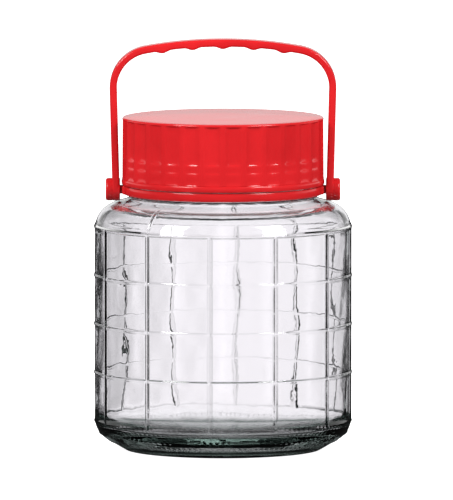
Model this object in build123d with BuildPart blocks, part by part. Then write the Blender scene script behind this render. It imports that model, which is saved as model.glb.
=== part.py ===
"""Round glass pickling jar with a screw lid, an inner stopper and a swing handle.

The jar stands on z = 0 with its axis on Z. The handle pivots about the X axis and is
modelled standing upright. The lid is modelled screwed down. All sizes are millimetres.
"""

from build123d import *
import os
from math import atan2, cos, degrees, radians, sin, sqrt, tan

# Glass body
body_radius = 87.7  # outside of the wall between the raised rings
wall = 4.0
base_thickness = 7.5
heel_radius = 15.4  # round edge between the wall and the sloping foot
foot_radius = 67.0  # bearing circle
foot_slope = 30.0  # degrees, from the bearing circle out to the heel
foot_land = 4.0  # width of the flat ring that the jar stands on
push_up = 2.0  # hollow under the base
push_up_ramp = 5.0  # width of the slope from the flat ring up into the hollow
shoulder_radius = 18.8
shoulder_slope = 15.0  # degrees, from the shoulder up to the neck

# Raised window pattern on the wall
ring_count = 5
ring_low_z = 19.6
ring_top_rise = 1.7  # the top ring lies this far above the end of the straight wall
ring_height = 3.6
relief = 0.7  # how far rings and ribs stand out
rib_count = 12
rib_width = 3.6
rib_turn = -96.0  # degrees, direction of the first rib

# Neck
neck_radius = 63.0
neck_wall = 4.5
neck_root = 2.86  # from the foot of the neck up to the collar
lip_z = 221.2
lip_rounding = 1.6
bead_height = 1.6  # how far the two beads that hold the collar stand out
bead_width = 2.2
neck_fillet = 3.0

# Screw thread, two starts
lead = 12.0
starts = 2
thread_drop = 22.2  # from the lip down to where the threads start
thread_height = 2.0
thread_root = 2.6
thread_crest = 1.4
glass_thread_turn = 200.0  # degrees covered by each thread on the neck
lid_thread_turn = 110.0
thread_bite = 1.4  # how far the threads of neck and lid reach past each other
thread_flank_gap = 0.4
thread_sink = 0.6  # how deep a thread is rooted in its wall

# Collar
collar_z = 175.0
pin_cover = 0.05  # plastic of the collar above and below its pins
collar_width = 5.2  # from the neck out
collar_fit = 0.08  # radial running fit on the neck
end_gap = 0.3  # along the axis, between the collar and each bead
collar_edge = 0.8
pad_width = 15.0
pad_reach = 0.8  # the flat pad around each pin stands this far out
pad_root = 2.0  # the pads and pins are rooted in the collar from this far outside its bore

# Pivot pins
pin_radius = 3.0
pin_fit = 0.06
pin_length = 9.2
pin_tip = 0.6

# Handle
arm_gap = 2.2  # from the collar to the inside of each arm
arm_thickness = 5.2
handle_width = 15.0
arm_flare = 1.9  # how much further out the arms stand at the top
corner_radius = 29.0
crown_radius = 300.0
grip_thickness = 5.0
handle_room = 53.5  # from the top of the lid to the top of the handle
handle_edge = 1.5
boss_radius = 7.75
boss_reach = 4.6
boss_edge = 1.4
boss_floor = 1.6  # plastic left beyond the end of the pin
socket_lead = 1.0  # the hole for the pin is cut from this far inside the arm
bump_count = 5
bump_pitch = 20.5
bump_length = 12.0
bump_depth = 6.0
bump_drop = 1.6  # how far each bump hangs below the grip

# Lid
lid_gap = 0.4  # from the collar to the rim of the lid
lid_reach = 5.8  # from the neck out to the lid's top edge
lid_flare = 0.6
lid_wall = 2.6
lid_top = 2.4
rim_band = 4.2
top_band = 1.4
lid_edge = 0.9
flute_count = 30
flute_radius = 11.4
flute_depth = 0.7
inner_edge = 1.0

# Sealing disc and inner stopper
disc_thickness = 1.5
disc_gap = 0.3  # between the disc and the lid
seal_gap = 0.6  # between the disc and the stopper
disc_side_gap = 0.9
stopper_flange = 1.6
stopper_wall = 1.6
stopper_depth = 15.0
stopper_fit = 0.3
stopper_seat_gap = 0.1
flange_reach = 4.0  # how far the flange lies out over the glass lip
tab_length = 46.0
tab_thickness = 2.4
tab_height = 9.0
tab_foot = 9.0
tab_sink = 0.5  # the bar's feet are rooted this deep in the stopper's floor
tab_rounding = 2.0

pick = 0.01  # how near an edge must lie to a stated place to be picked

# Derived places and sizes
shoulder_end_r = body_radius - shoulder_radius + shoulder_radius * sin(radians(shoulder_slope))
cone_rise = (shoulder_end_r - neck_radius) * tan(radians(shoulder_slope))
shoulder_rise = shoulder_radius * cos(radians(shoulder_slope)) + cone_rise
wall_top = collar_z - neck_root - shoulder_rise
ring_pitch = (wall_top + ring_top_rise - ring_low_z) / (ring_count - 1)
ring_levels = [ring_low_z + ring_pitch * i for i in range(ring_count)]
neck_bore = neck_radius - neck_wall
collar_height = 2 * (pin_radius + pin_cover)
collar_radius = neck_radius + collar_width
pivot_z = collar_z + collar_height / 2
collar_bore = neck_radius + collar_fit
lower_bead_z = collar_z - end_gap - bead_width / 2
upper_bead_z = collar_z + collar_height + end_gap + bead_width / 2
pad_face = collar_radius + pad_reach
arm_inside = collar_radius + arm_gap
arm_outside = arm_inside + arm_thickness
boss_face = arm_outside + boss_reach
pin_end = collar_radius + pin_length
socket_end = boss_face - boss_floor
lid_z = collar_z + collar_height + lid_gap
lid_radius = neck_radius + lid_reach
lid_foot_radius = lid_radius + lid_flare
lid_bore = lid_radius - lid_wall
flange_z = lip_z + stopper_seat_gap
disc_z = flange_z + stopper_flange + seal_gap
lid_ceiling = disc_z + disc_thickness + disc_gap
lid_top_z = lid_ceiling + lid_top
handle_top_z = lid_top_z + handle_room
thread_z = lip_z - thread_drop
stopper_radius = neck_bore - stopper_fit
thread_pitch = lead / starts
glass_crest_radius = neck_radius + thread_height
lid_crest_radius = glass_crest_radius - thread_bite
lid_thread_height = lid_bore - lid_crest_radius
lid_thread_drop = (thread_root + thread_crest) / 2 + thread_flank_gap


def arc_point(centre_r, centre_z, radius, angle):
    """A point on a circle in the profile plane, with the angle in degrees."""
    return (centre_r + radius * cos(radians(angle)), centre_z + radius * sin(radians(angle)))


def jar_side(out, base_z, foot, heel, shoulder, neck):
    """Corner points and arcs of the jar's side from the foot to the neck at radius `neck`.

    `out` is the wall radius, `foot` the radius where the slope meets z = base_z.
    """
    centre = out - heel
    slope = radians(foot_slope)
    tangent_r = centre + heel * sin(slope)
    heel_z = base_z + (tangent_r - foot) * tan(slope) + heel * cos(slope)
    top_angle = 90 - shoulder_slope
    crown_r, crown_z = arc_point(out - shoulder, wall_top, shoulder, top_angle)
    neck_z = crown_z + (crown_r - neck) * tan(radians(shoulder_slope))
    return {
        "slope_end": (tangent_r, base_z + (tangent_r - foot) * tan(slope)),
        "heel_mid": arc_point(centre, heel_z, heel, -45 + foot_slope / 2),
        "wall_low": (out, heel_z),
        "wall_high": (out, wall_top),
        "shoulder_mid": arc_point(out - shoulder, wall_top, shoulder, top_angle / 2),
        "shoulder_end": (crown_r, crown_z),
        "neck": (neck, neck_z),
    }


outside = jar_side(body_radius, 0, foot_radius, heel_radius, shoulder_radius, neck_radius)
inside = jar_side(
    body_radius - wall,
    base_thickness,
    foot_radius - wall,
    heel_radius - wall / 2,
    shoulder_radius - wall,
    neck_bore,
)

# The glass jar: wall, shoulder and neck turned in one piece, with rings, beads and ribs
with BuildPart() as glass_jar:
    with BuildSketch(Plane.XZ):
        with BuildLine():
            Polyline(
                (0, push_up),
                (foot_radius - foot_land - push_up_ramp, push_up),
                (foot_radius - foot_land, 0),
                (foot_radius, 0),
            )
            Line((foot_radius, 0), outside["slope_end"])
            ThreePointArc(outside["slope_end"], outside["heel_mid"], outside["wall_low"])
            Line(outside["wall_low"], outside["wall_high"])
            ThreePointArc(outside["wall_high"], outside["shoulder_mid"], outside["shoulder_end"])
            Line(outside["shoulder_end"], outside["neck"])
            Polyline(outside["neck"], (neck_radius, lip_z), (neck_bore, lip_z), inside["neck"])
            Line(inside["neck"], inside["shoulder_end"])
            ThreePointArc(inside["shoulder_end"], inside["shoulder_mid"], inside["wall_high"])
            Line(inside["wall_high"], inside["wall_low"])
            ThreePointArc(inside["wall_low"], inside["heel_mid"], inside["slope_end"])
            Polyline(inside["slope_end"], (foot_radius - wall, base_thickness), (0, base_thickness))
            Line((0, base_thickness), (0, push_up))
        make_face()
    revolve(axis=Axis.Z)
    fillet(glass_jar.edges().filter_by(GeomType.CIRCLE).group_by(Axis.Z)[-1], lip_rounding)
    neck_foot = glass_jar.edges().filter_by(GeomType.CIRCLE).filter_by(
        lambda e: abs(e.radius - neck_radius) < pick and abs(e.center().Z - outside["neck"][1]) < pick
    )
    fillet(neck_foot, neck_fillet)
    with BuildSketch(Plane.XZ):
        for level in ring_levels:
            with Locations((body_radius - relief, level)):
                Ellipse(2 * relief, ring_height / 2)
        for level in (lower_bead_z, upper_bead_z):
            with Locations((neck_radius, level)):
                Ellipse(bead_height, bead_width / 2)
    revolve(axis=Axis.Z)
    with BuildSketch(Plane.XY.offset(ring_levels[0])):
        with PolarLocations(body_radius - relief, rib_count, start_angle=rib_turn):
            Ellipse(2 * relief, rib_width / 2)
    extrude(amount=ring_levels[-1] - ring_levels[0])

thread_span = lead * glass_thread_turn / 360
with BuildPart() as neck_thread:
    with BuildLine():
        Helix(lead, thread_span, neck_radius)
    with BuildSketch(Plane(origin=(neck_radius, 0, 0), x_dir=(1, 0, 0), z_dir=(0, -1, 0))):
        with BuildLine():
            Polyline(
                (-thread_sink, -thread_root / 2),
                (thread_height, -thread_crest / 2),
                (thread_height, thread_crest / 2),
                (-thread_sink, thread_root / 2),
                close=True,
            )
        make_face()
    sweep(is_frenet=True)

with glass_jar:
    for start in range(starts):
        turned = neck_thread.part.rotate(Axis.Z, start * 360 / starts)
        add(turned.moved(Location((0, 0, thread_z))))

# The collar: a ring that snaps between the two beads, with a flat pad and a pin on each side
with BuildPart() as handle_collar:
    with BuildSketch(Plane.XY.offset(collar_z)):
        Circle(collar_radius)
        Circle(collar_bore, mode=Mode.SUBTRACT)
    extrude(amount=collar_height)
    chamfer(
        handle_collar.edges().filter_by(GeomType.CIRCLE).filter_by(
            lambda e: abs(e.radius - collar_radius) < pick
        ),
        collar_edge,
    )
    for side in (1, -1):
        with BuildSketch(Plane.YZ.offset(side * pad_face)):
            with Locations((0, pivot_z)):
                RectangleRounded(pad_width, collar_height, collar_edge)
        extrude(amount=-side * (pad_face - collar_bore - pad_root))
        with BuildSketch(Plane.YZ.offset(side * pin_end)):
            with Locations((0, pivot_z)):
                Circle(pin_radius)
        extrude(amount=-side * (pin_end - collar_bore - pad_root))
    pin_tips = handle_collar.edges().filter_by(
        lambda e: abs(abs(e.center().X) - pin_end) < pick
    )
    chamfer(pin_tips, pin_tip)

# The handle: one moulded bail with an eye and a closed boss at each end
crown_z = handle_top_z - crown_radius
shoulder_x = arm_outside + arm_flare - corner_radius
shoulder_z = crown_z + sqrt((crown_radius - corner_radius) ** 2 - shoulder_x**2)
arm_top = (arm_outside + arm_flare, shoulder_z)
corner_end_angle = degrees(atan2(shoulder_z - crown_z, shoulder_x))
corner_end = (
    shoulder_x * crown_radius / (crown_radius - corner_radius),
    crown_z + (shoulder_z - crown_z) * crown_radius / (crown_radius - corner_radius),
)
corner_mid = arc_point(shoulder_x, shoulder_z, corner_radius, corner_end_angle / 2)
eye_radius = handle_width / 2

arm_foot_z = pivot_z - eye_radius
grip_radius = corner_radius - grip_thickness
grip_start = (arm_top[0] - grip_thickness, shoulder_z)
grip_mid = arc_point(shoulder_x, shoulder_z, grip_radius, corner_end_angle / 2)
grip_end = arc_point(shoulder_x, shoulder_z, grip_radius, corner_end_angle)

with BuildPart() as carry_handle:
    with BuildSketch(Plane.XZ.offset(-handle_width / 2)):
        with BuildLine():
            Line((0, handle_top_z - grip_thickness), (0, handle_top_z))
            ThreePointArc(
                (0, handle_top_z),
                arc_point(0, crown_z, crown_radius, (90 + corner_end_angle) / 2),
                corner_end,
            )
            ThreePointArc(corner_end, corner_mid, arm_top)
            Polyline(arm_top, (arm_outside, arm_foot_z), (arm_inside, arm_foot_z), grip_start)
            ThreePointArc(grip_start, grip_mid, grip_end)
            ThreePointArc(
                grip_end,
                arc_point(0, crown_z, crown_radius - grip_thickness, (90 + corner_end_angle) / 2),
                (0, handle_top_z - grip_thickness),
            )
        make_face()
        mirror(about=Plane.YZ)
    extrude(amount=handle_width)
    long_edges = carry_handle.edges().filter_by(
        lambda e: abs(abs(e.center().Y) - eye_radius) < pick and e.center().Z > arm_foot_z + pick
    )
    fillet(long_edges, handle_edge)
    with BuildSketch(Plane.YZ.offset(-boss_face)):
        with Locations((0, pivot_z)):
            Circle(eye_radius)
        with Locations((0, pivot_z + handle_top_z / 2)):
            Rectangle(handle_width, handle_top_z)
    extrude(amount=2 * boss_face, mode=Mode.INTERSECT)
    with BuildSketch(Plane.XZ.offset(-(handle_width / 2 - handle_edge))):
        for i in range(bump_count):
            x = (i - (bump_count - 1) / 2) * bump_pitch
            face_z = crown_z + sqrt((crown_radius - grip_thickness) ** 2 - x**2)
            with Locations((x, face_z - bump_drop + bump_depth / 2)):
                Ellipse(bump_length / 2, bump_depth / 2)
    extrude(amount=handle_width - 2 * handle_edge)
    for side in (1, -1):
        with BuildSketch(Plane.YZ.offset(side * boss_face)):
            with Locations((0, pivot_z)):
                Circle(boss_radius)
        extrude(amount=-side * (boss_reach + arm_thickness / 2))
        boss_rim = carry_handle.edges().filter_by(
            lambda e: abs(e.center().X - side * boss_face) < pick
        )
        fillet(boss_rim, boss_edge)
        with BuildSketch(Plane.YZ.offset(side * (arm_inside - socket_lead))):
            with Locations((0, pivot_z)):
                Circle(pin_radius + pin_fit)
        extrude(amount=side * (socket_end - arm_inside + socket_lead), mode=Mode.SUBTRACT)

# The lid: a fluted cap with a thread inside
with BuildPart() as screw_lid:
    with BuildSketch(Plane.XZ):
        with BuildLine():
            Polyline(
                (0, lid_top_z),
                (lid_radius, lid_top_z),
                (lid_foot_radius, lid_z + rim_band),
                (lid_foot_radius, lid_z),
                (lid_bore, lid_z),
                (lid_bore, lid_ceiling),
                (0, lid_ceiling),
                close=True,
            )
        make_face()
    revolve(axis=Axis.Z)
    with BuildSketch(Plane.XY.offset(lid_z + rim_band)):
        with PolarLocations(lid_foot_radius - flute_depth + flute_radius, flute_count):
            Circle(flute_radius)
    extrude(amount=lid_top_z - lid_z - rim_band - top_band, mode=Mode.SUBTRACT)
    lid_rims = screw_lid.edges().filter_by(GeomType.CIRCLE)
    fillet(lid_rims.filter_by(lambda e: abs(e.center().Z - lid_top_z) < pick), lid_edge)
    chamfer(
        lid_rims.filter_by(
            lambda e: abs(e.center().Z - lid_z) < pick and abs(e.radius - lid_foot_radius) < pick
        ),
        lid_edge,
    )
    fillet(lid_rims.filter_by(lambda e: abs(e.center().Z - lid_ceiling) < pick), inner_edge)

with BuildPart() as cap_thread:
    with BuildLine():
        Helix(lead, lead * lid_thread_turn / 360, lid_bore)
    with BuildSketch(Plane(origin=(lid_bore, 0, 0), x_dir=(1, 0, 0), z_dir=(0, -1, 0))):
        with BuildLine():
            Polyline(
                (thread_sink, -thread_root / 2),
                (-lid_thread_height, -thread_crest / 2),
                (-lid_thread_height, thread_crest / 2),
                (thread_sink, thread_root / 2),
                close=True,
            )
        make_face()
    sweep(is_frenet=True)

with screw_lid:
    for start in range(starts):
        turned = cap_thread.part.rotate(Axis.Z, start * 360 / starts)
        add(turned.moved(Location((0, 0, thread_z - lid_thread_drop))))

# The sealing disc lies loose under the lid's top
with BuildPart() as sealing_disc:
    with BuildSketch(Plane.XY.offset(disc_z)):
        Circle(lid_bore - disc_side_gap)
    extrude(amount=disc_thickness)

# The inner stopper: a dished plug with a flange over the lip and a bar to pull it by
with BuildPart() as inner_stopper:
    with BuildSketch(Plane.XZ):
        with BuildLine():
            Polyline(
                (0, flange_z - stopper_depth),
                (stopper_radius, flange_z - stopper_depth),
                (stopper_radius, flange_z),
                (neck_bore + flange_reach, flange_z),
                (neck_bore + flange_reach, flange_z + stopper_flange),
                (stopper_radius - stopper_wall, flange_z + stopper_flange),
                (stopper_radius - stopper_wall, flange_z - stopper_depth + stopper_wall),
                (0, flange_z - stopper_depth + stopper_wall),
                close=True,
            )
        make_face()
    revolve(axis=Axis.Z)
    with BuildSketch(Plane.XZ.offset(-tab_thickness / 2)):
        tab_base = flange_z - stopper_depth + stopper_wall
        with Locations((0, tab_base + tab_height / 2)):
            RectangleRounded(tab_length, tab_height + 2 * tab_sink, tab_rounding)
        with Locations((0, tab_base + (tab_height - tab_thickness) / 2)):
            Rectangle(tab_length - 2 * tab_foot, tab_height - tab_thickness, mode=Mode.SUBTRACT)
    extrude(amount=tab_thickness)

os.makedirs("parts", exist_ok=True)

glass_jar.part.label = "glass_jar"
export_step(glass_jar.part, "parts/glass_jar.step")

handle_collar.part.label = "handle_collar"
export_step(handle_collar.part, "parts/handle_collar.step")

carry_handle.part.label = "carry_handle"
export_step(carry_handle.part, "parts/carry_handle.step")

screw_lid.part.label = "screw_lid"
export_step(screw_lid.part, "parts/screw_lid.step")

sealing_disc.part.label = "sealing_disc"
export_step(sealing_disc.part, "parts/sealing_disc.step")

inner_stopper.part.label = "inner_stopper"
export_step(inner_stopper.part, "parts/inner_stopper.step")
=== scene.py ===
"""Glass pickling jar with a screw lid and a swing handle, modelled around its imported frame."""

from math import atan2, cos, pi, radians, sin, sqrt, tan

import bpy
import numpy as np
from bpy.props import FloatProperty, IntProperty, PointerProperty, StringProperty
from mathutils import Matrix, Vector


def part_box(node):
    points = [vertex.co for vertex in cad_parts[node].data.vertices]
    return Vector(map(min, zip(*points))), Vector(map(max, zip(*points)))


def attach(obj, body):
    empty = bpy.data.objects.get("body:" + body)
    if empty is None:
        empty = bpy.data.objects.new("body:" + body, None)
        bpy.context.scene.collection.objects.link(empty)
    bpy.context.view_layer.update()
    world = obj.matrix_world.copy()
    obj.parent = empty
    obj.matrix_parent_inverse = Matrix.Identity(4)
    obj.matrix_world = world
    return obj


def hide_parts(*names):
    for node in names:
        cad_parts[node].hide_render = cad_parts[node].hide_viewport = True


bl_info = {
    "name": "Pickling jar",
    "version": (1, 0, 0),
    "blender": (4, 5, 0),
    "location": "View3D > Sidebar > Jar",
    "description": "Builds a glass pickling jar with a fluted screw lid and a swing handle",
    "category": "Add Mesh",
}

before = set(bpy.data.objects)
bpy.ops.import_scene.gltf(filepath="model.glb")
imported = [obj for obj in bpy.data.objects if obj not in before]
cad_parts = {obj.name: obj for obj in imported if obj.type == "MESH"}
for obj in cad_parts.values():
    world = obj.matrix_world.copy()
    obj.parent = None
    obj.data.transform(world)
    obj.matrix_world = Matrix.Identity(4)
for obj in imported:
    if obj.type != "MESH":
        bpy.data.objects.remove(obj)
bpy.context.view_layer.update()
MM = 0.001
GLASS_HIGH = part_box("glass_jar")[1]
COLLAR_LOW, COLLAR_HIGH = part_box("handle_collar")
HANDLE_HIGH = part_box("carry_handle")[1]
LID_LOW, LID_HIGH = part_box("screw_lid")
DISC_LOW, DISC_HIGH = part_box("sealing_disc")
STOPPER_LOW, STOPPER_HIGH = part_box("inner_stopper")


# ---------------------------------------------------------------- sizes and colours


def length(name, millimetres, description):
    """A length property whose default is given in millimetres."""
    return FloatProperty(
        name=name, description=description, default=millimetres * MM, unit="LENGTH", precision=5
    )


def turn(name, degrees, description):
    """An angle property whose default is given in degrees."""
    return FloatProperty(name=name, description=description, default=radians(degrees), subtype="ANGLE")


class GlassSizes(bpy.types.PropertyGroup):
    relief: length("Relief", 0.7, "How far the rings and ribs stand out of the wall")
    wall: length("Wall", 4.0, "Thickness of the glass")
    base: length("Base", 7.5, "Thickness of the base")
    ring_height: length("Ring height", 3.4, "Height of each raised ring")
    ring_low: length("Lowest ring", 19.6, "Height of the lowest ring above the table")
    ring_pitch: length("Ring pitch", 33.3, "Distance from one ring to the next")
    rib_width: length("Rib width", 3.6, "Width of each upright rib")
    heel: length("Heel radius", 15.4, "Rounding between the wall and the foot")
    foot: length("Foot radius", 67.0, "Radius of the circle that the jar stands on")
    wall_top: length("Wall top", 151.1, "Height at which the shoulder starts")
    shoulder: length("Shoulder radius", 18.8, "Rounding between the wall and the shoulder")
    neck: length("Neck radius", 63.0, "Outside radius of the neck")
    neck_wall: length("Neck wall", 4.5, "Thickness of the neck")
    lead: length("Thread lead", 12.0, "Rise of the thread in one turn")
    thread: length("Thread height", 1.9, "How far the thread stands out of the neck")
    thread_z: length("Thread start", 199.0, "Height at which each thread starts")
    bead: length("Bead height", 1.5, "How far the two beads beside the collar stand out of the neck")
    bead_gap: length("Bead gap", 1.4, "Distance from the collar to the middle of each bead")
    push_up: length("Push-up", 2.0, "How far the middle of the foot is dished")
    dot: length("Dot height", 0.8, "How far the dots on the foot stand out")
    waviness: length("Waviness", 0.09, "How uneven the inside of the blown wall is")
    rib_turn: turn("First rib", -96, "Direction of the first rib")
    seam_turn: turn("Mould seam", -126, "Direction of the seam that the mould leaves")
    ring_count: IntProperty(name="Rings", description="Number of raised rings", default=5, min=2)
    rib_count: IntProperty(name="Ribs", description="Number of upright ribs", default=12, min=3)
    dot_count: IntProperty(
        name="Dots", description="Number of dots in each row on the foot", default=128, min=3
    )


class LidSizes(bpy.types.PropertyGroup):
    top_radius: length("Top radius", 68.8, "Radius of the lid at its top")
    wall: length("Wall", 2.6, "Thickness of the lid's side")
    top: length("Top", 2.4, "Thickness of the lid's top")
    rim_band: length("Rim band", 4.2, "Height of the smooth band at the lid's foot")
    flute: length("Flute depth", 1.2, "Depth of the flutes in the lid's side")
    ledge_high: length("Upper ledge", 200.0, "Height at which the flutes first get shallower")
    ledge_low: length("Lower ledge", 194.3, "Height at which the flutes get shallower again")
    thread_z: length("Thread start", 196.6, "Height at which each thread starts")
    thread: length("Thread height", 2.4, "How far the thread stands in from the bore")
    flute_count: IntProperty(name="Flutes", description="Number of flutes", default=30, min=8)


class HandleSizes(bpy.types.PropertyGroup):
    arm: length("Arm thickness", 5.2, "Thickness of the arms")
    grip: length("Grip thickness", 5.0, "Thickness of the grip")
    flare: length("Flare", 1.9, "How much further out the arms stand at the top")
    corner: length("Corner radius", 29.0, "Outer radius of the two corners")
    crown: length("Crown radius", 300.0, "Outer radius of the top")
    edge: length("Edge", 1.6, "Rounding along the handle's edges")
    boss_radius: length("Boss radius", 7.75, "Radius of the closed boss outside each arm")
    boss_reach: length("Boss reach", 4.6, "How far each boss stands out of its arm")
    bump_pitch: length("Bump pitch", 20.5, "Distance between the finger bumps")
    bump_drop: length("Bump drop", 1.6, "How far the finger bumps hang below the grip")
    pin: length("Pin radius", 3.0, "Radius of the pivot pins")
    pin_fit: length("Pin clearance", 0.06, "Gap between a pin and its eye")


class JarColours(bpy.types.PropertyGroup):
    lid: StringProperty(name="Lid", description="Colour of the red plastic, sRGB hex", default="DF2227")
    glass: StringProperty(name="Glass", description="Tint of the glass in depth, sRGB hex", default="CBDBD5")
    foam: StringProperty(name="Foam", description="Colour of the sealing disc, sRGB hex", default="EFEFEA")
    stopper: StringProperty(name="Stopper", description="Colour of the stopper, sRGB hex", default="EDEFEC")
    floor: StringProperty(name="Floor", description="Colour of the floor, sRGB hex", default="FFFFFF")


class StudioSettings(bpy.types.PropertyGroup):
    distance: FloatProperty(name="Distance", description="Camera distance", default=12.0, unit="LENGTH")
    elevation: turn("Elevation", 5.3, "Camera height as an angle")
    view_height: length("View height", 342.0, "Height of the picture at the jar")
    aim_height: length("Aim height", 136.3, "Height of the point in the middle of the picture")
    aim_side: length("Aim side", 2.4, "How far right of the jar the middle of the picture lies")
    floor_radius: length("Floor radius", 40000, "Radius of the floor")
    box_turn: turn("Soft box bearing", 50, "Angle of each soft box from the camera's side")
    box_height: length("Soft box height", 1300, "Height of each soft box")
    box_distance: length("Soft box distance", 1600, "Distance of each soft box from the jar's axis")
    box_size: length("Soft box size", 700, "Width and height of each soft box")
    bright: FloatProperty(
        name="Bright field", description="Brightness of the field seen in the glass", default=1.08
    )
    key: FloatProperty(name="Soft boxes", description="Power of each soft box", default=21.0, unit="POWER")


# ---------------------------------------------------------------- modelling helpers


def deselect():
    if bpy.context.object and bpy.context.object.mode != "OBJECT":
        bpy.ops.object.mode_set(mode="OBJECT")
    bpy.ops.object.select_all(action="DESELECT")


def arc(centre_r, centre_z, radius, start, end, count):
    """Points (r, z) on a circle from angle start to end in degrees."""
    angles = [radians(start + (end - start) * i / count) for i in range(count + 1)]
    return [(centre_r + radius * cos(a), centre_z + radius * sin(a)) for a in angles]


def spread(a, b, count):
    """count points from a to b, without a."""
    return [tuple(p + (q - p) * (i + 1) / count for p, q in zip(a, b)) for i in range(count)]


def turn_outline(name, outline, steps):
    """Turns a closed or axis-to-axis outline of (r, z) points about Z, and closes it into one skin."""
    deselect()
    bpy.ops.mesh.primitive_plane_add(size=MM)
    piece = bpy.context.object
    piece.name = piece.data.name = name
    bpy.ops.object.mode_set(mode="EDIT")
    bpy.ops.mesh.select_all(action="SELECT")
    bpy.ops.mesh.merge(type="CENTER")
    bpy.ops.transform.translate(value=(outline[0][0], 0, outline[0][1]))
    for before, after in zip(outline, outline[1:]):
        step = (after[0] - before[0], 0, after[1] - before[1])
        bpy.ops.mesh.extrude_region_move(TRANSFORM_OT_translate={"value": step})
    bpy.ops.mesh.select_all(action="SELECT")
    bpy.ops.mesh.spin(steps=steps, angle=2 * pi, center=(0, 0, 0), axis=(0, 0, 1))
    bpy.ops.mesh.select_all(action="SELECT")
    bpy.ops.mesh.remove_doubles(threshold=0.002 * MM)
    bpy.ops.mesh.normals_make_consistent(inside=False)
    bpy.ops.object.mode_set(mode="OBJECT")
    return piece


def reshape(piece, move):
    """Moves a piece's vertices: move takes and returns arrays of radius, angle and height."""
    count = len(piece.data.vertices)
    places = np.empty(count * 3)
    piece.data.vertices.foreach_get("co", places)
    x, y, z = places.reshape(-1, 3).T
    radius, angle, z = move(np.hypot(x, y), np.arctan2(y, x), z)
    places = np.stack([radius * np.cos(angle), radius * np.sin(angle), z], axis=1)
    piece.data.vertices.foreach_set("co", places.ravel())
    piece.data.update()


def swell(t):
    """A rounded bump that is 1 at t = 0 and falls to 0 at t = 1 and -1."""
    return np.where(np.abs(t) < 1, 0.5 + 0.5 * np.cos(pi * np.clip(t, -1, 1)), 0)


def ramp(value, start, end):
    """Goes smoothly from 0 at start to 1 at end."""
    t = np.clip((value - start) / (end - start), 0, 1)
    return t * t * (3 - 2 * t)


def nearest(angle, count, offset=0.0):
    """The angle from the nearest of count equally spaced directions, the first of them at offset."""
    step = 2 * pi / count
    return (angle - offset + step / 2) % step - step / 2


def crowd(angle, count, offset, share, width):
    """Draws an even fan of angles together: share of each sector's angles end up within width of its middle."""
    half = pi / count
    t = nearest(angle, count, offset)
    inner = share * half
    near = t * width / inner
    far = np.sign(t) * (width + (np.abs(t) - inner) * (half - width) / (half - inner))
    return angle + np.where(np.abs(t) < inner, near, far) - t


def select_only(piece):
    deselect()
    piece.select_set(True)
    bpy.context.view_layer.objects.active = piece


def smooth(piece, limit=40):
    """Shades a piece smooth across edges of less than limit degrees."""
    select_only(piece)
    bpy.ops.object.shade_smooth_by_angle(angle=radians(limit))


def apply_modifiers(piece):
    select_only(piece)
    for modifier in list(piece.modifiers):
        bpy.ops.object.modifier_apply(modifier=modifier.name)


def round_edges(piece, width, segments):
    """Rounds a piece's sharp edges and applies the rounding."""
    bevel = piece.modifiers.new("Bevel", "BEVEL")
    bevel.width, bevel.segments, bevel.limit_method = width, segments, "ANGLE"
    apply_modifiers(piece)


def add_bar(side, radius, start, end, height, vertices):
    """A round bar along X at a height, from start to end on one side of the jar: side is 1 or -1."""
    deselect()
    bpy.ops.mesh.primitive_cylinder_add(
        vertices=vertices,
        radius=radius,
        depth=end - start,
        location=(side * (start + end) / 2, 0, height),
        rotation=(0, pi / 2, 0),
    )
    bpy.ops.object.transform_apply()
    return bpy.context.object


def add_block(size, height):
    """A block centred on the jar's axis at a height."""
    bpy.ops.mesh.primitive_cube_add(size=1, location=(0, 0, height))
    bpy.context.object.scale = size
    bpy.ops.object.transform_apply()
    return bpy.context.object


def thread_ridge(turned, z, start, lead, fade):
    """A two-start thread: 1 on the crest, 0 off it. fade is the two angles between which its end dies away."""
    around = np.degrees(turned) % 180
    run = ramp(around, 2, 10) * (1 - ramp(around, *fade))
    crest = start + lead * around / 360
    return np.clip(1.5 * swell((z - crest) / (1.5 * MM)), 0, 1) * run


def cut(piece, tool, operation):
    """Joins or cuts a piece with a tool mesh, which is then deleted."""
    modifier = piece.modifiers.new(operation.title(), "BOOLEAN")
    modifier.operation = operation
    modifier.solver = "EXACT"
    modifier.object = tool
    apply_modifiers(piece)
    bpy.data.objects.remove(tool)


def finish_piece(piece, material, body, node):
    """Gives a piece its material, hides the CAD node that it replaces and hangs the piece on the body that it
    rides on.
    """
    piece.data.materials.clear()
    piece.data.materials.append(material)
    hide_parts(node)
    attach(piece, body)


# ---------------------------------------------------------------- materials


def srgb(code):
    """Linear colour with alpha from an sRGB hex code."""
    values = [int(code[i : i + 2], 16) / 255 for i in (0, 2, 4)]
    return [v / 12.92 if v <= 0.04045 else ((v + 0.055) / 1.055) ** 2.4 for v in values] + [1.0]


def add_node(tree, kind, settings=None, links=None):
    """Adds a node, sets its attributes and plain sockets, and links its inputs from other nodes' outputs."""
    node = tree.nodes.new(kind)
    for key, value in (settings or {}).items():
        if isinstance(key, int) or key in node.inputs:
            node.inputs[key].default_value = value
        else:
            setattr(node, key, value)
    for key, output in (links or {}).items():
        tree.links.new(output, node.inputs[key])
    return node


def smooth_range(tree, value, start, end, low, high=1.0):
    """An output that goes smoothly from low to high as value goes from start to end."""
    settings = {"interpolation_type": "SMOOTHSTEP", "From Min": start, "From Max": end}
    settings.update({"To Min": low, "To Max": high})
    return add_node(tree, "ShaderNodeMapRange", settings, {"Value": value}).outputs["Result"]


def multiply(tree, a, b):
    """An output that is the product of two others."""
    return add_node(tree, "ShaderNodeMath", {"operation": "MULTIPLY"}, {0: a, 1: b}).outputs["Value"]


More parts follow.
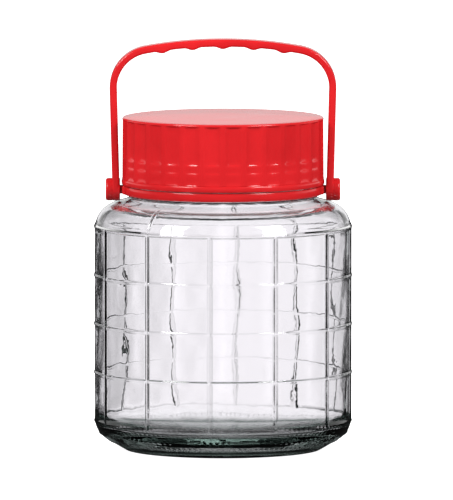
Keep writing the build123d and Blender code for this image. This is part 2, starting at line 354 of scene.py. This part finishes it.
def fill_ramp(node, stops):
    """Fills a colour ramp with grey levels: stops are (position, level) from first to last."""
    ramp = node.color_ramp
    while len(ramp.elements) < len(stops):
        ramp.elements.new(1.0)
    for element, (position, level) in zip(ramp.elements, stops):
        element.position = position
        element.color = (level, level, level, 1)


def new_material(name):
    material = bpy.data.materials.new(name)
    material.use_nodes = True
    tree = material.node_tree
    tree.nodes.clear()
    return material, tree


def soda_lime_glass(tint):
    """Pressed soda-lime glass: clear, faintly green in depth, with a rippled skin; painted shade turns the base
    colour near black at the foot.
    """
    material, tree = new_material("soda_lime_glass")
    place = add_node(tree, "ShaderNodeTexCoord")
    ripple = add_node(
        tree, "ShaderNodeTexNoise", {"Scale": 90.0, "Detail": 2.0}, {"Vector": place.outputs["Object"]}
    )
    skin = add_node(
        tree, "ShaderNodeBump", {"Strength": 0.12, "Distance": 0.6 * MM}, {"Height": ripple.outputs["Fac"]}
    )
    height = add_node(tree, "ShaderNodeSeparateXYZ", links={"Vector": place.outputs["Object"]})
    # painted shade: the base colour is near black up to 4 mm and fades to white by 12 mm, standing in for the
    # shadow under the foot
    shade = add_node(
        tree,
        "ShaderNodeMix",
        {"data_type": "RGBA", "A": (0.05, 0.07, 0.06, 1), "B": (1, 1, 1, 1)},
        {"Factor": smooth_range(tree, height.outputs["Z"], 4 * MM, 12 * MM, 0.0)},
    )
    glass = add_node(
        tree,
        "ShaderNodeBsdfPrincipled",
        {"Roughness": 0.0, "IOR": 1.52, "Transmission Weight": 1.0},
        {"Base Color": shade.outputs["Result"], "Normal": skin.outputs["Normal"]},
    )
    depth = add_node(tree, "ShaderNodeVolumeAbsorption", {"Color": srgb(tint), "Density": 20.0})
    add_node(
        tree,
        "ShaderNodeOutputMaterial",
        links={"Surface": glass.outputs["BSDF"], "Volume": depth.outputs["Volume"]},
    )
    return material


def moulded_plastic(name, colour, roughness, grain_size, grain_height):
    """Injection-moulded polyolefin: even colour with faint flow marks and a mould grain, sized in mm."""
    material, tree = new_material(name)
    place = add_node(tree, "ShaderNodeTexCoord")
    flow = add_node(
        tree, "ShaderNodeTexNoise", {"Scale": 28.0, "Detail": 3.0}, {"Vector": place.outputs["Object"]}
    )
    darker = [c * 0.86 for c in colour[:3]] + [1.0]
    lighter = [min(1.0, c * 1.06) for c in colour[:3]] + [1.0]
    blend = add_node(tree, "ShaderNodeValToRGB", links={"Fac": flow.outputs["Fac"]})
    for element, position, shade in zip(blend.color_ramp.elements, (0.3, 0.7), (darker, lighter)):
        element.position, element.color = position, shade
    grain = add_node(
        tree,
        "ShaderNodeTexNoise",
        {"Scale": 1 / (grain_size * MM), "Detail": 2.0},
        {"Vector": place.outputs["Object"]},
    )
    polish = add_node(
        tree,
        "ShaderNodeMapRange",
        {"To Min": roughness * 0.85, "To Max": roughness * 1.2},
        {"Value": flow.outputs["Fac"]},
    )
    relief = add_node(
        tree,
        "ShaderNodeBump",
        {"Strength": 0.5, "Distance": grain_height * MM},
        {"Height": grain.outputs["Fac"]},
    )
    plastic = add_node(
        tree,
        "ShaderNodeBsdfPrincipled",
        {"IOR": 1.49},
        {
            "Base Color": blend.outputs["Color"],
            "Roughness": polish.outputs["Result"],
            "Normal": relief.outputs["Normal"],
        },
    )
    add_node(tree, "ShaderNodeOutputMaterial", links={"Surface": plastic.outputs["BSDF"]})
    return material


def red_polypropylene():
    """Glossy injection-moulded polypropylene, shared by the lid, the collar and the handle."""
    found = bpy.data.materials.get("red_polypropylene")
    if found:
        return found
    colour = srgb(bpy.context.scene.jar_colours.lid)
    return moulded_plastic("red_polypropylene", colour, 0.17, 1.6, 0.012)


# ---------------------------------------------------------------- the glass jar

# unevenness of the inside: share, waves round the jar, height in mm of one radian, start
WAVES = ((1, 5, 11, 0), (1, 9, -17, 1.3), (0.8, 17, 26, 0.4), (0.7, 31, -8, 2.1), (0.6, 3, 6.5, 0))
FOOT_SLOPE = 30  # degrees, how steeply the foot rises to the heel
SHOULDER_SLOPE = 15  # degrees, how steeply the shoulder ends at the neck


def jar_levels(sizes):
    """Heights of the raised rings, from the lowest up."""
    return [sizes.ring_low + sizes.ring_pitch * i for i in range(sizes.ring_count)]


def bead_levels(sizes):
    """Heights of the two beads that hold the collar."""
    return COLLAR_LOW.z - sizes.bead_gap, COLLAR_HIGH.z + sizes.bead_gap


def side_points(out, base_z, foot, heel, shoulder, wall_top, neck):
    """Where the straights and arcs of the jar's side meet."""
    slope, drop = radians(FOOT_SLOPE), radians(SHOULDER_SLOPE)
    tangent = out - heel + heel * sin(slope)
    slope_end = (tangent, base_z + (tangent - foot) * tan(slope))
    heel_z = slope_end[1] + heel * cos(slope)
    crown = (out - shoulder + shoulder * sin(drop), wall_top + shoulder * cos(drop))
    neck_z = crown[1] + (crown[0] - neck) * tan(drop)
    return slope_end, heel_z, crown, neck_z


def wall_rows(levels, half):
    """Heights of the mesh rows on the wall: close together on the rings, wider between them."""
    on_ring = (-1.15, -0.8, -0.5, -0.2, 0.2, 0.5, 0.8, 1.15)
    rows = []
    for i, level in enumerate(levels):
        rows += [level + half * t for t in on_ring]
        if i + 1 < len(levels):
            first, last = rows[-1], levels[i + 1] - half * 1.15
            rows += [first + (last - first) * (k + 1) / 8 for k in range(7)]
    return rows


def glass_outline(sizes):
    """The jar's section from the middle of its foot, round the outside, over the lip and back inside."""
    out = GLASS_HIGH.x - sizes.relief
    top = GLASS_HIGH.z
    slope_end, heel_z, _, neck_z = side_points(
        out, 0, sizes.foot, sizes.heel, sizes.shoulder, sizes.wall_top, sizes.neck
    )
    levels = jar_levels(sizes)
    line = [(0, sizes.push_up)]
    line += spread(line[-1], (sizes.foot - 10 * MM, sizes.push_up), 4)
    line += spread(line[-1], (sizes.foot - 4 * MM, 0), 2)
    line += spread(line[-1], (sizes.foot, 0), 1)
    line += spread(line[-1], slope_end, 9)
    line += arc(out - sizes.heel, heel_z, sizes.heel, FOOT_SLOPE - 90, 0, 14)[1:]
    line += [(out, z) for z in wall_rows(levels, sizes.ring_height / 2) if z > heel_z + MM]
    line += arc(out - sizes.shoulder, sizes.wall_top, sizes.shoulder, 0, 90 - SHOULDER_SLOPE, 13)[1:]
    fillet = 3 * MM
    line += spread(line[-1], (sizes.neck + fillet, neck_z - fillet * tan(radians(SHOULDER_SLOPE))), 2)
    line += arc(sizes.neck + fillet, neck_z + fillet * 0.77, fillet, 270 - SHOULDER_SLOPE, 180, 4)[1:]
    neck_rows = [bead + 1.2 * MM * t for bead in bead_levels(sizes) for t in (-1, -0.5, 0, 0.5, 1)]
    neck_rows += [sizes.thread_z - 2.5 * MM + 0.6 * MM * i for i in range(22)]
    line += [(sizes.neck, z) for z in neck_rows]
    bore = sizes.neck - sizes.neck_wall
    lip = 1.6 * MM
    line += arc(sizes.neck - lip, top - lip, lip, 0, 90, 4)
    line += arc(bore + lip, top - lip, lip, 90, 180, 4)
    inner_out, inner_foot = out - sizes.wall, sizes.foot - sizes.wall
    inner_heel, inner_shoulder = sizes.heel - sizes.wall / 2, sizes.shoulder - sizes.wall
    _, inner_heel_z, _, inner_neck_z = side_points(
        inner_out, sizes.base, inner_foot, inner_heel, inner_shoulder, sizes.wall_top, bore
    )
    line += spread(line[-1], (bore, inner_neck_z + 3 * MM), 5)
    line += [(bore + 0.6 * MM, inner_neck_z + MM)]
    line += arc(inner_out - inner_shoulder, sizes.wall_top, inner_shoulder, 90 - SHOULDER_SLOPE, 0, 10)
    line += spread(line[-1], (inner_out, inner_heel_z), 36)
    line += arc(inner_out - inner_heel, inner_heel_z, inner_heel, 0, FOOT_SLOPE - 90, 10)[1:]
    line += spread(line[-1], (inner_foot, sizes.base), 4)
    line += spread(line[-1], (0, sizes.base), 6)
    return line


def press_pattern(sizes):
    """Returns the function that raises rings, ribs, beads, thread, seam and foot dots on the turned jar."""
    out = GLASS_HIGH.x - sizes.relief
    levels = jar_levels(sizes)
    heel_z = side_points(
        out, 0, sizes.foot, sizes.heel, sizes.shoulder, sizes.wall_top, sizes.neck
    )[1]
    bead_z = bead_levels(sizes)
    flat, half_rib = 0.3 * MM, sizes.rib_width / 2

    def move(radius, angle, z):
        above = ramp(z, 12 * MM, 17 * MM)
        crowded = crowd(angle, sizes.rib_count, sizes.rib_turn, 12 / 32, radians(2.1))
        angle = angle + (crowded - angle) * above
        outside = radius > np.where(z < sizes.wall_top, out - 0.6 * sizes.wall, 0)
        outside &= z > heel_z - 8 * MM
        on_wall = outside & (z < levels[-1] + 4 * MM)
        ring = np.max([swell((z - level) / (sizes.ring_height / 2)) for level in levels], axis=0)
        off = nearest(angle, sizes.rib_count, sizes.rib_turn) * out
        rib = 0.95 * (1 - np.clip((np.abs(off) - flat) / (half_rib - flat), 0, 1))
        rib *= ramp(z, levels[0] - 1.5 * MM, levels[0]) * (1 - ramp(z, levels[-1], levels[-1] + 1.5 * MM))
        raised = np.clip(np.maximum(ring, rib) + 0.25 * ring * rib, 0, 1)
        radius = radius + np.where(on_wall, raised * sizes.relief, 0)
        # the two halves of the mould meet in a fine line over the shoulder
        line = swell(nearest(angle, 2, sizes.seam_turn) * radius / (0.9 * MM))
        line *= ramp(z, levels[-1] + MM, levels[-1] + 4 * MM) * (1 - ramp(z, 171 * MM, 173 * MM))
        shoulder = outside & (radius > sizes.neck + 3 * MM)
        radius = radius + np.where(shoulder, line * 0.35 * MM, 0)
        # beads and thread on the neck
        on_neck = np.abs(radius - sizes.neck) < 0.2 * MM
        beads = sum(swell((z - level) / (1.1 * MM)) for level in bead_z)
        radius = radius + np.where(on_neck, beads * sizes.bead, 0)
        thread = thread_ridge(angle, z, sizes.thread_z, sizes.lead, (165, 175))
        radius = radius + np.where(on_neck & (z > sizes.thread_z - 5 * MM), thread * sizes.thread, 0)
        # rows of dots that keep the foot from sliding
        dot = np.clip(2 * swell(nearest(angle, sizes.dot_count) * radius / (1.6 * MM)), 0, 1)
        for level in (11.3 * MM, 6.2 * MM):
            row = swell((z - level) / (1.5 * MM)) * (radius > sizes.foot + 2 * MM)
            low = (z < 14 * MM) & (radius > sizes.foot + z * 0.5)
            radius = radius + np.where(low, row * dot * sizes.dot, 0)
        # the blown inside is never quite even
        inside = (z > sizes.base + 3 * MM) & ~outside & (radius > sizes.neck)
        waves = sum(
            share * np.sin(count * angle + z / (pitch * MM) + start) for share, count, pitch, start in WAVES
        )
        radius = radius + np.where(inside, waves * sizes.waviness / 2, 0)
        return radius, angle, z

    return move


class JAR_OT_glass(bpy.types.Operator):
    """Turns the glass jar and presses its window pattern"""

    bl_idname = "jar.glass"
    bl_label = "Glass jar"

    def execute(self, context):
        sizes = context.scene.jar_glass
        jar = turn_outline("jar_glass_body", glass_outline(sizes), 384)
        reshape(jar, press_pattern(sizes))
        smooth(jar, 60)
        finish_piece(jar, soda_lime_glass(context.scene.jar_colours.glass), "jar", "glass_jar")
        return {"FINISHED"}


# ---------------------------------------------------------------- the lid


class JAR_OT_lid(bpy.types.Operator):
    """Turns the screw lid, its flutes and the thread inside"""

    bl_idname = "jar.lid"
    bl_label = "Screw lid"

    def execute(self, context):
        sizes, glass = context.scene.jar_lid, context.scene.jar_glass
        low, high = LID_LOW.z, LID_HIGH.z
        foot, top = LID_HIGH.x, sizes.top_radius
        bore, ceiling = sizes.top_radius - sizes.wall, LID_HIGH.z - sizes.top
        band_top, flute_top = low + sizes.rim_band, high - 1.4 * MM
        edge, half_ledge = MM, 0.6 * MM
        line = [(0, high)] + spread((0, high), (top - edge, high), 8)
        line += arc(top - edge, high - edge, edge, 90, 0, 4)[1:]
        rows = [flute_top + 0.3 * MM, flute_top, flute_top - 0.3 * MM, flute_top - 0.7 * MM]
        rows += [flute_top - 1.2 * MM - 2.2 * MM * i for i in range(11)]
        on_ledge = (half_ledge, half_ledge / 3, -half_ledge / 3, -half_ledge)
        rows += [sizes.ledge_high + t for t in on_ledge] + [198 * MM, 196.4 * MM]
        rows += [sizes.ledge_low + t for t in on_ledge] + [191.5 * MM, 189.5 * MM]
        rows += [band_top + 0.9 * MM, band_top + 0.5 * MM, band_top + 0.2 * MM]
        line += [(top + (foot - 0.35 * MM - top) * (high - z) / (high - band_top), z) for z in rows]
        nose, height = 0.7 * MM, sizes.rim_band / 2
        nose_turns = np.linspace(1.45, -1.3, 10)
        line += [(foot - nose + nose * cos(a), low + height * (1 + sin(a))) for a in nose_turns]
        line += [(foot - 1.2 * MM, low), (bore + 0.3 * MM, low), (bore, low + 0.3 * MM)]
        line += spread(line[-1], (bore, 193.5 * MM), 4)
        line += [(bore, 194 * MM + 0.6 * MM * i) for i in range(16)]
        line += spread(line[-1], (bore, ceiling - MM), 5)
        line += arc(bore - MM, ceiling - MM, MM, 0, 90, 3)[1:]
        line += spread(line[-1], (0, ceiling), 6)
        lid = turn_outline("lid_cap", line, sizes.flute_count * 12)
        outer = bore + 1.2 * MM

        def flutes(radius, angle, z):
            outside = radius > outer
            crowded = crowd(angle, sizes.flute_count, radians(6), 7 / 12, radians(2.4))
            angle = np.where(outside, crowded, angle)
            off = np.degrees(nearest(angle, sizes.flute_count))
            floor = 1 - ramp(np.abs(off), 3.5, 4.4)
            rounded = 0.3 * (off / 3.6) ** 2
            deep = 1.0
            for ledge, loss in ((sizes.ledge_high, 0.42), (sizes.ledge_low, 0.3)):
                deep = deep - loss * (1 - ramp(z, ledge - half_ledge, ledge + half_ledge))
            span = ramp(z, band_top + 0.1 * MM, band_top + 0.9 * MM)
            span *= 1 - ramp(z, flute_top - 0.6 * MM, flute_top)
            groove = np.clip(floor * (1 - rounded), 0, 1) * deep * span * sizes.flute
            radius = radius - np.where(outside, groove, 0)
            thread = thread_ridge(angle, z, sizes.thread_z, glass.lead, (98, 106))
            inside = np.abs(radius - bore) < 0.1 * MM
            radius = radius - np.where(inside, thread * sizes.thread, 0)
            return radius, angle, z

        reshape(lid, flutes)
        smooth(lid, 35)
        finish_piece(lid, red_polypropylene(), "lid", "screw_lid")
        lid.visible_transmission = False
        return {"FINISHED"}


# ---------------------------------------------------------------- collar and handle


class JAR_OT_collar(bpy.types.Operator):
    """Turns the neck collar and adds its flat pads and pivot pins"""

    bl_idname = "jar.collar"
    bl_label = "Handle collar"

    def execute(self, context):
        handle = context.scene.jar_handle
        low, high, out = COLLAR_LOW.z, COLLAR_HIGH.z, COLLAR_HIGH.y
        bore = context.scene.jar_glass.neck + 0.08 * MM
        edge = 0.8 * MM
        middle = (low + high) / 2
        line = [(bore, middle), (bore, low + 0.2 * MM), (bore + 0.2 * MM, low)]
        line += spread(line[-1], (out - 2 * edge, low), 2)
        height = (high - low) / 2
        face_turns = np.linspace(-1.4, 1.4, 12)
        line += [(out - edge + edge * cos(a), middle + height * sin(a)) for a in face_turns]
        line += [(out - 2 * edge, high)]
        line += [(bore + 0.2 * MM, high), (bore, high - 0.2 * MM), (bore, middle)]
        collar = turn_outline("collar_ring", line, 360)
        half_pad = 7.5 * MM
        face = out + 0.8 * MM

        def pads(radius, angle, z):
            y = radius * np.sin(angle)
            x = np.abs(radius * np.cos(angle))
            level = 1 - ramp(np.abs(y), half_pad - 0.4 * MM, half_pad + 0.4 * MM)
            outer = ramp(radius, bore + 1.5 * MM, out - edge)
            x = x + (face - (out - radius) * 0.8 - x) * level * outer
            radius = np.where(outer > 0, np.hypot(x, y), radius)
            return radius, np.arctan2(y, np.sign(np.cos(angle)) * x), z

        reshape(collar, pads)
        for side in (1, -1):
            pin = add_bar(side, handle.pin, out - 3 * MM, COLLAR_HIGH.x, middle, 64)
            round_edges(pin, 0.5 * MM, 3)
            cut(collar, pin, "UNION")
        smooth(collar, 35)
        finish_piece(collar, red_polypropylene(), "collar", "handle_collar")
        collar.visible_transmission = False
        return {"FINISHED"}


class JAR_OT_handle(bpy.types.Operator):
    """Draws the bail along its arms, corners and grip, and adds the eyes and bosses"""

    bl_idname = "jar.handle"
    bl_label = "Carry handle"

    def execute(self, context):
        sizes = context.scene.jar_handle
        pivot = (COLLAR_LOW.z + COLLAR_HIGH.z) / 2
        half = HANDLE_HIGH.y
        outside = HANDLE_HIGH.x - sizes.boss_reach
        inside = outside - sizes.arm
        crown_z = HANDLE_HIGH.z - sizes.crown
        corner_x = outside + sizes.flare - sizes.corner
        corner_z = crown_z + sqrt((sizes.crown - sizes.corner) ** 2 - corner_x**2)
        bend = atan2(corner_z - crown_z, corner_x)
        thick = sizes.grip
        # the section: a strap with rounded edges, drawn at the top of the right arm
        deselect()
        bpy.ops.mesh.primitive_plane_add(size=1, location=(outside + sizes.flare - thick / 2, 0, corner_z))
        handle = bpy.context.object
        handle.name = handle.data.name = "handle_bail"
        handle.scale = (thick, 2 * half, 1)
        bpy.ops.object.transform_apply()
        bpy.ops.object.mode_set(mode="EDIT")
        bpy.ops.mesh.select_all(action="SELECT")
        bpy.ops.mesh.bevel(offset=sizes.edge, segments=5, affect="VERTICES")
        bpy.ops.mesh.select_all(action="SELECT")
        bpy.ops.mesh.delete(type="ONLY_FACE")
        bpy.ops.mesh.select_all(action="SELECT")
        bpy.ops.mesh.spin(steps=18, angle=bend, center=(corner_x, 0, corner_z), axis=(0, 1, 0))
        bpy.ops.mesh.spin(steps=54, angle=pi / 2 - bend, center=(0, 0, crown_z), axis=(0, 1, 0))
        bpy.ops.object.mode_set(mode="OBJECT")
        top_rim = [v.index for v in handle.data.vertices if abs(v.co.z - corner_z) < 0.001 * MM]
        bpy.ops.object.mode_set(mode="EDIT")
        bpy.ops.mesh.select_all(action="DESELECT")
        bpy.ops.object.mode_set(mode="OBJECT")
        for i in top_rim:
            handle.data.vertices[i].select = True
        bpy.ops.object.mode_set(mode="EDIT")
        foot = pivot - half * 0.2
        steps = 12
        for _ in range(steps):
            move = (-sizes.flare / steps, 0, (foot - corner_z) / steps)
            bpy.ops.mesh.extrude_region_move(TRANSFORM_OT_translate={"value": move})
        bpy.ops.mesh.edge_face_add()
        bpy.ops.object.mode_set(mode="OBJECT")
        self.raise_bumps(handle, sizes, crown_z, thick)
        mirror = handle.modifiers.new("Mirror", "MIRROR")
        mirror.use_axis[0] = True
        mirror.use_clip = True
        mirror.merge_threshold = 0.01 * MM
        apply_modifiers(handle)
        bpy.ops.object.mode_set(mode="EDIT")
        bpy.ops.mesh.select_all(action="SELECT")
        bpy.ops.mesh.normals_make_consistent(inside=False)
        bpy.ops.object.mode_set(mode="OBJECT")
        for side in (1, -1):
            for radius, start, end, edge in (
                (half, inside, outside, 0.5 * MM),
                (sizes.boss_radius, outside - MM, HANDLE_HIGH.x, 1.5 * MM),
            ):
                button = add_bar(side, radius, start, end, pivot, 96)
                round_edges(button, edge, 5)
                cut(handle, button, "UNION")
            end = COLLAR_HIGH.x + 0.3 * MM
            hole = add_bar(side, sizes.pin + sizes.pin_fit, inside - MM, end, pivot, 96)
            cut(handle, hole, "DIFFERENCE")
        smooth(handle, 35)
        finish_piece(handle, red_polypropylene(), "handle", "carry_handle")
        return {"FINISHED"}

    def raise_bumps(self, handle, sizes, crown_z, thick):
        """Pulls five finger bumps out of the underside of the grip."""
        for v in handle.data.vertices:
            from_crown = sqrt(v.co.x**2 + (v.co.z - crown_z) ** 2)
            depth = (sizes.crown - from_crown) / thick
            if v.co.x > 2.5 * sizes.bump_pitch or depth < 0.02:
                continue
            near = round(v.co.x / sizes.bump_pitch) * sizes.bump_pitch
            bump = float(swell((v.co.x - near) / (6.2 * MM)))
            v.co.z -= bump * sizes.bump_drop * min(1.0, max(0.0, depth))
        handle.data.update()


# ---------------------------------------------------------------- disc and stopper


class JAR_OT_seal(bpy.types.Operator):
    """Turns the sealing disc and the inner stopper with its pull bar"""

    bl_idname = "jar.seal"
    bl_label = "Disc and stopper"

    def execute(self, context):
        colours, glass = context.scene.jar_colours, context.scene.jar_glass
        low, high, out = DISC_LOW.z, DISC_HIGH.z, DISC_HIGH.x
        edge = 0.3 * MM
        line = [(0, low)] + spread((0, low), (out - edge, low), 8)
        line += [(out, low + edge), (out, high - edge), (out - edge, high)]
        line += spread(line[-1], (0, high), 8)
        disc = turn_outline("seal_disc", line, 180)
        smooth(disc)
        foam = moulded_plastic("polyethylene_foam", srgb(colours.foam), 0.75, 0.9, 0.12)
        finish_piece(disc, foam, "disc", "sealing_disc")

        low, high, out = STOPPER_LOW.z, STOPPER_HIGH.z, STOPPER_HIGH.x
        wall = 1.6 * MM
        plug = glass.neck - glass.neck_wall - 0.3 * MM
        flange = high - wall
        line = [(0, low)] + spread((0, low), (plug - 2 * MM, low), 6)
        line += arc(plug - 2 * MM, low + 2 * MM, 2 * MM, -90, 0, 4)[1:]
        line += spread(line[-1], (plug, flange), 6)
        line += [(out - edge, flange), (out, flange + edge), (out, high - edge), (out - edge, high)]
        line += [(plug - wall + 0.5 * MM, high), (plug - wall, high - 0.5 * MM)]
        line += spread(line[-1], (plug - wall, low + 2 * wall), 5)
        line += arc(plug - 2 * wall, low + 2 * wall, wall, 0, -90, 4)[1:]
        line += spread(line[-1], (0, low + wall), 6)
        stopper = turn_outline("stopper_plug", line, 180)
        deselect()
        bar = add_block((46 * MM, 2.4 * MM, 9.4 * MM), low + wall + 4.2 * MM)
        finger_gap = add_block((28 * MM, 6 * MM, 6.6 * MM), low + wall + 3.3 * MM)
        cut(bar, finger_gap, "DIFFERENCE")
        round_edges(bar, 0.7 * MM, 3)
        cut(stopper, bar, "UNION")
        smooth(stopper)
        milky = moulded_plastic("natural_polyethylene", srgb(colours.stopper), 0.42, 2.0, 0.03)
        finish_piece(stopper, milky, "stopper", "inner_stopper")
        return {"FINISHED"}


# ---------------------------------------------------------------- stage, light and camera


def studio_world(bright):
    """A white studio. Glass shows a bright field ahead with dark cards beside it, in eight directions."""
    world = bpy.data.worlds.new("studio")
    bpy.context.scene.world = world
    world.use_nodes = True
    tree = world.node_tree
    tree.nodes.clear()
    place = add_node(tree, "ShaderNodeTexCoord")
    ray = add_node(tree, "ShaderNodeLightPath")
    split = add_node(tree, "ShaderNodeSeparateXYZ", links={"Vector": place.outputs["Generated"]})
    bearing = add_node(
        tree,
        "ShaderNodeMath",
        {"operation": "ARCTAN2"},
        {0: split.outputs["X"], 1: split.outputs["Y"]},
    )
    share = add_node(
        tree,
        "ShaderNodeMapRange",
        {"From Min": -pi, "From Max": pi},
        {"Value": bearing.outputs["Value"]},
    )
    card = add_node(tree, "ShaderNodeValToRGB", links={"Fac": share.outputs["Result"]})
    dark, dim = 0.03, 0.2
    ahead = [(-27, dark), (-15.5, dark), (-13.8, 0.9), (-5.6, 0.66), (-3, 0.8), (0, 1.0)]
    ahead += [(4.2, 0.94), (13.8, 0.86), (15.5, dark), (27, dark)]

    def fields(*middles):
        """A bright field round each bearing in degrees, with dim cards between them."""
        return [stop for middle in middles for stop in ((middle - 10, dim), (middle, 1.0), (middle + 10, dim))]

    stops = [(-180, 1.0), (-166, dim), *fields(-135, -90, -45), *ahead, *fields(45, 90, 135)]
    stops += [(166, dim), (180, 1.0)]
    fill_ramp(card, [(0.5 + side / 360, bright * level) for side, level in stops])
    below = smooth_range(tree, split.outputs["Z"], -0.7, -0.34, 0.3)
    seen = multiply(tree, card.outputs["Color"], below)
    band = add_node(tree, "ShaderNodeValToRGB", links={"Fac": split.outputs["Z"]})
    fill_ramp(band, [(0, 0.02), (0.03, 0.95), (0.18, 0.75), (0.32, 0.1), (0.5, 0.03)])
    away = smooth_range(tree, split.outputs["Y"], -0.2, 0.4, 0.06)
    mirrored = multiply(tree, band.outputs["Color"], away)

    def by_ray(kind, settings, links=None):
        """An output that is A, or B for rays of the given kind."""
        links = {"Factor": ray.outputs[kind], **(links or {})}
        return add_node(tree, "ShaderNodeMix", settings, links).outputs["Result"]

    soft = by_ray("Is Diffuse Ray", {"data_type": "FLOAT", "A": 1.0, "B": 0.56})
    glossy = by_ray("Is Glossy Ray", {"data_type": "FLOAT"}, {"A": soft, "B": mirrored})
    strength = by_ray("Is Transmission Ray", {"data_type": "FLOAT"}, {"A": glossy, "B": seen})
    tones = {"A": (1, 1, 1, 1), "B": (1.05, 1.0, 1.06, 1)}
    tone = by_ray("Is Transmission Ray", {"data_type": "RGBA", **tones})
    sky = add_node(
        tree,
        "ShaderNodeBackground",
        links={"Color": tone, "Strength": strength},
    )
    add_node(tree, "ShaderNodeOutputWorld", links={"Surface": sky.outputs["Background"]})


def soft_box(name, bearing, studio):
    """An area light at a bearing from the camera's side, aimed at the middle of the jar."""
    light = bpy.data.lights.new(name, "AREA")
    light.shape, light.size, light.energy = "SQUARE", studio.box_size, studio.key
    lamp = bpy.data.objects.new(name, light)
    bpy.context.collection.objects.link(lamp)
    distance = studio.box_distance
    lamp.location = (distance * sin(bearing), -distance * cos(bearing), studio.box_height)
    aim = Vector((0, 0, GLASS_HIGH.z / 2)) - lamp.location
    lamp.rotation_euler = aim.to_track_quat("-Z", "Y").to_euler()
    lamp.visible_camera = False
    lamp.visible_transmission = False
    return lamp


class JAR_OT_stage(bpy.types.Operator):
    """Sets up the floor, the soft boxes, the white surroundings and the camera"""

    bl_idname = "jar.stage"
    bl_label = "Studio"

    def execute(self, context):
        scene, studio = context.scene, context.scene.jar_studio
        deselect()
        bpy.ops.mesh.primitive_circle_add(
            vertices=96, radius=studio.floor_radius, fill_type="NGON", location=(0, 0, -0.2 * MM)
        )
        floor = context.object
        floor.name = "studio_floor"
        material, tree = new_material("studio_floor")
        paper = add_node(
            tree,
            "ShaderNodeBsdfPrincipled",
            {
                "Base Color": srgb(scene.jar_colours.floor),
                "Roughness": 0.9,
                "Emission Color": (1, 1, 1, 1),
                "Emission Strength": 1.0,
            },
        )
        add_node(tree, "ShaderNodeOutputMaterial", links={"Surface": paper.outputs["BSDF"]})
        floor.data.materials.append(material)
        floor.visible_glossy = False
        floor.visible_transmission = False
        floor.visible_diffuse = False
        studio_world(studio.bright)
        soft_box("soft_box_left", -studio.box_turn, studio)
        soft_box("soft_box_right", studio.box_turn, studio)
        camera_data = bpy.data.cameras.new("camera")
        camera = bpy.data.objects.new("camera", camera_data)
        context.collection.objects.link(camera)
        aim = Vector((studio.aim_side, 0, studio.aim_height))
        back = Vector((0, -cos(studio.elevation), sin(studio.elevation)))
        camera.location = aim + back * studio.distance
        camera.rotation_euler = (pi / 2 - studio.elevation, 0, 0)
        camera_data.sensor_width = 36
        camera_data.lens = camera_data.sensor_width * studio.distance / studio.view_height
        camera_data.clip_end = 200
        scene.camera = camera
        scene.view_settings.view_transform = "Standard"
        scene.cycles.max_bounces = 24
        scene.cycles.transmission_bounces = 24
        scene.cycles.glossy_bounces = 8
        return {"FINISHED"}


class JAR_PT_panel(bpy.types.Panel):
    """Lists the steps that build the jar"""

    bl_idname = "JAR_PT_panel"
    bl_label = "Pickling jar"
    bl_space_type = "VIEW_3D"
    bl_region_type = "UI"
    bl_category = "Jar"

    def draw(self, context):
        for operator in OPERATORS:
            self.layout.operator(operator.bl_idname)


GROUPS = {
    "jar_glass": GlassSizes,
    "jar_lid": LidSizes,
    "jar_handle": HandleSizes,
    "jar_colours": JarColours,
    "jar_studio": StudioSettings,
}
OPERATORS = (JAR_OT_glass, JAR_OT_lid, JAR_OT_collar, JAR_OT_handle, JAR_OT_seal, JAR_OT_stage)


def register():
    for name, group in GROUPS.items():
        bpy.utils.register_class(group)
        setattr(bpy.types.Scene, name, PointerProperty(type=group))
    for operator in OPERATORS:
        bpy.utils.register_class(operator)
    bpy.utils.register_class(JAR_PT_panel)


def unregister():
    bpy.utils.unregister_class(JAR_PT_panel)
    for operator in reversed(OPERATORS):
        bpy.utils.unregister_class(operator)
    for name, group in reversed(GROUPS.items()):
        delattr(bpy.types.Scene, name)
        bpy.utils.unregister_class(group)


def main():
    register()
    bpy.ops.jar.glass()
    bpy.ops.jar.lid()
    bpy.ops.jar.collar()
    bpy.ops.jar.handle()
    bpy.ops.jar.seal()
    bpy.ops.jar.stage()


if __name__ == "__main__":
    main()
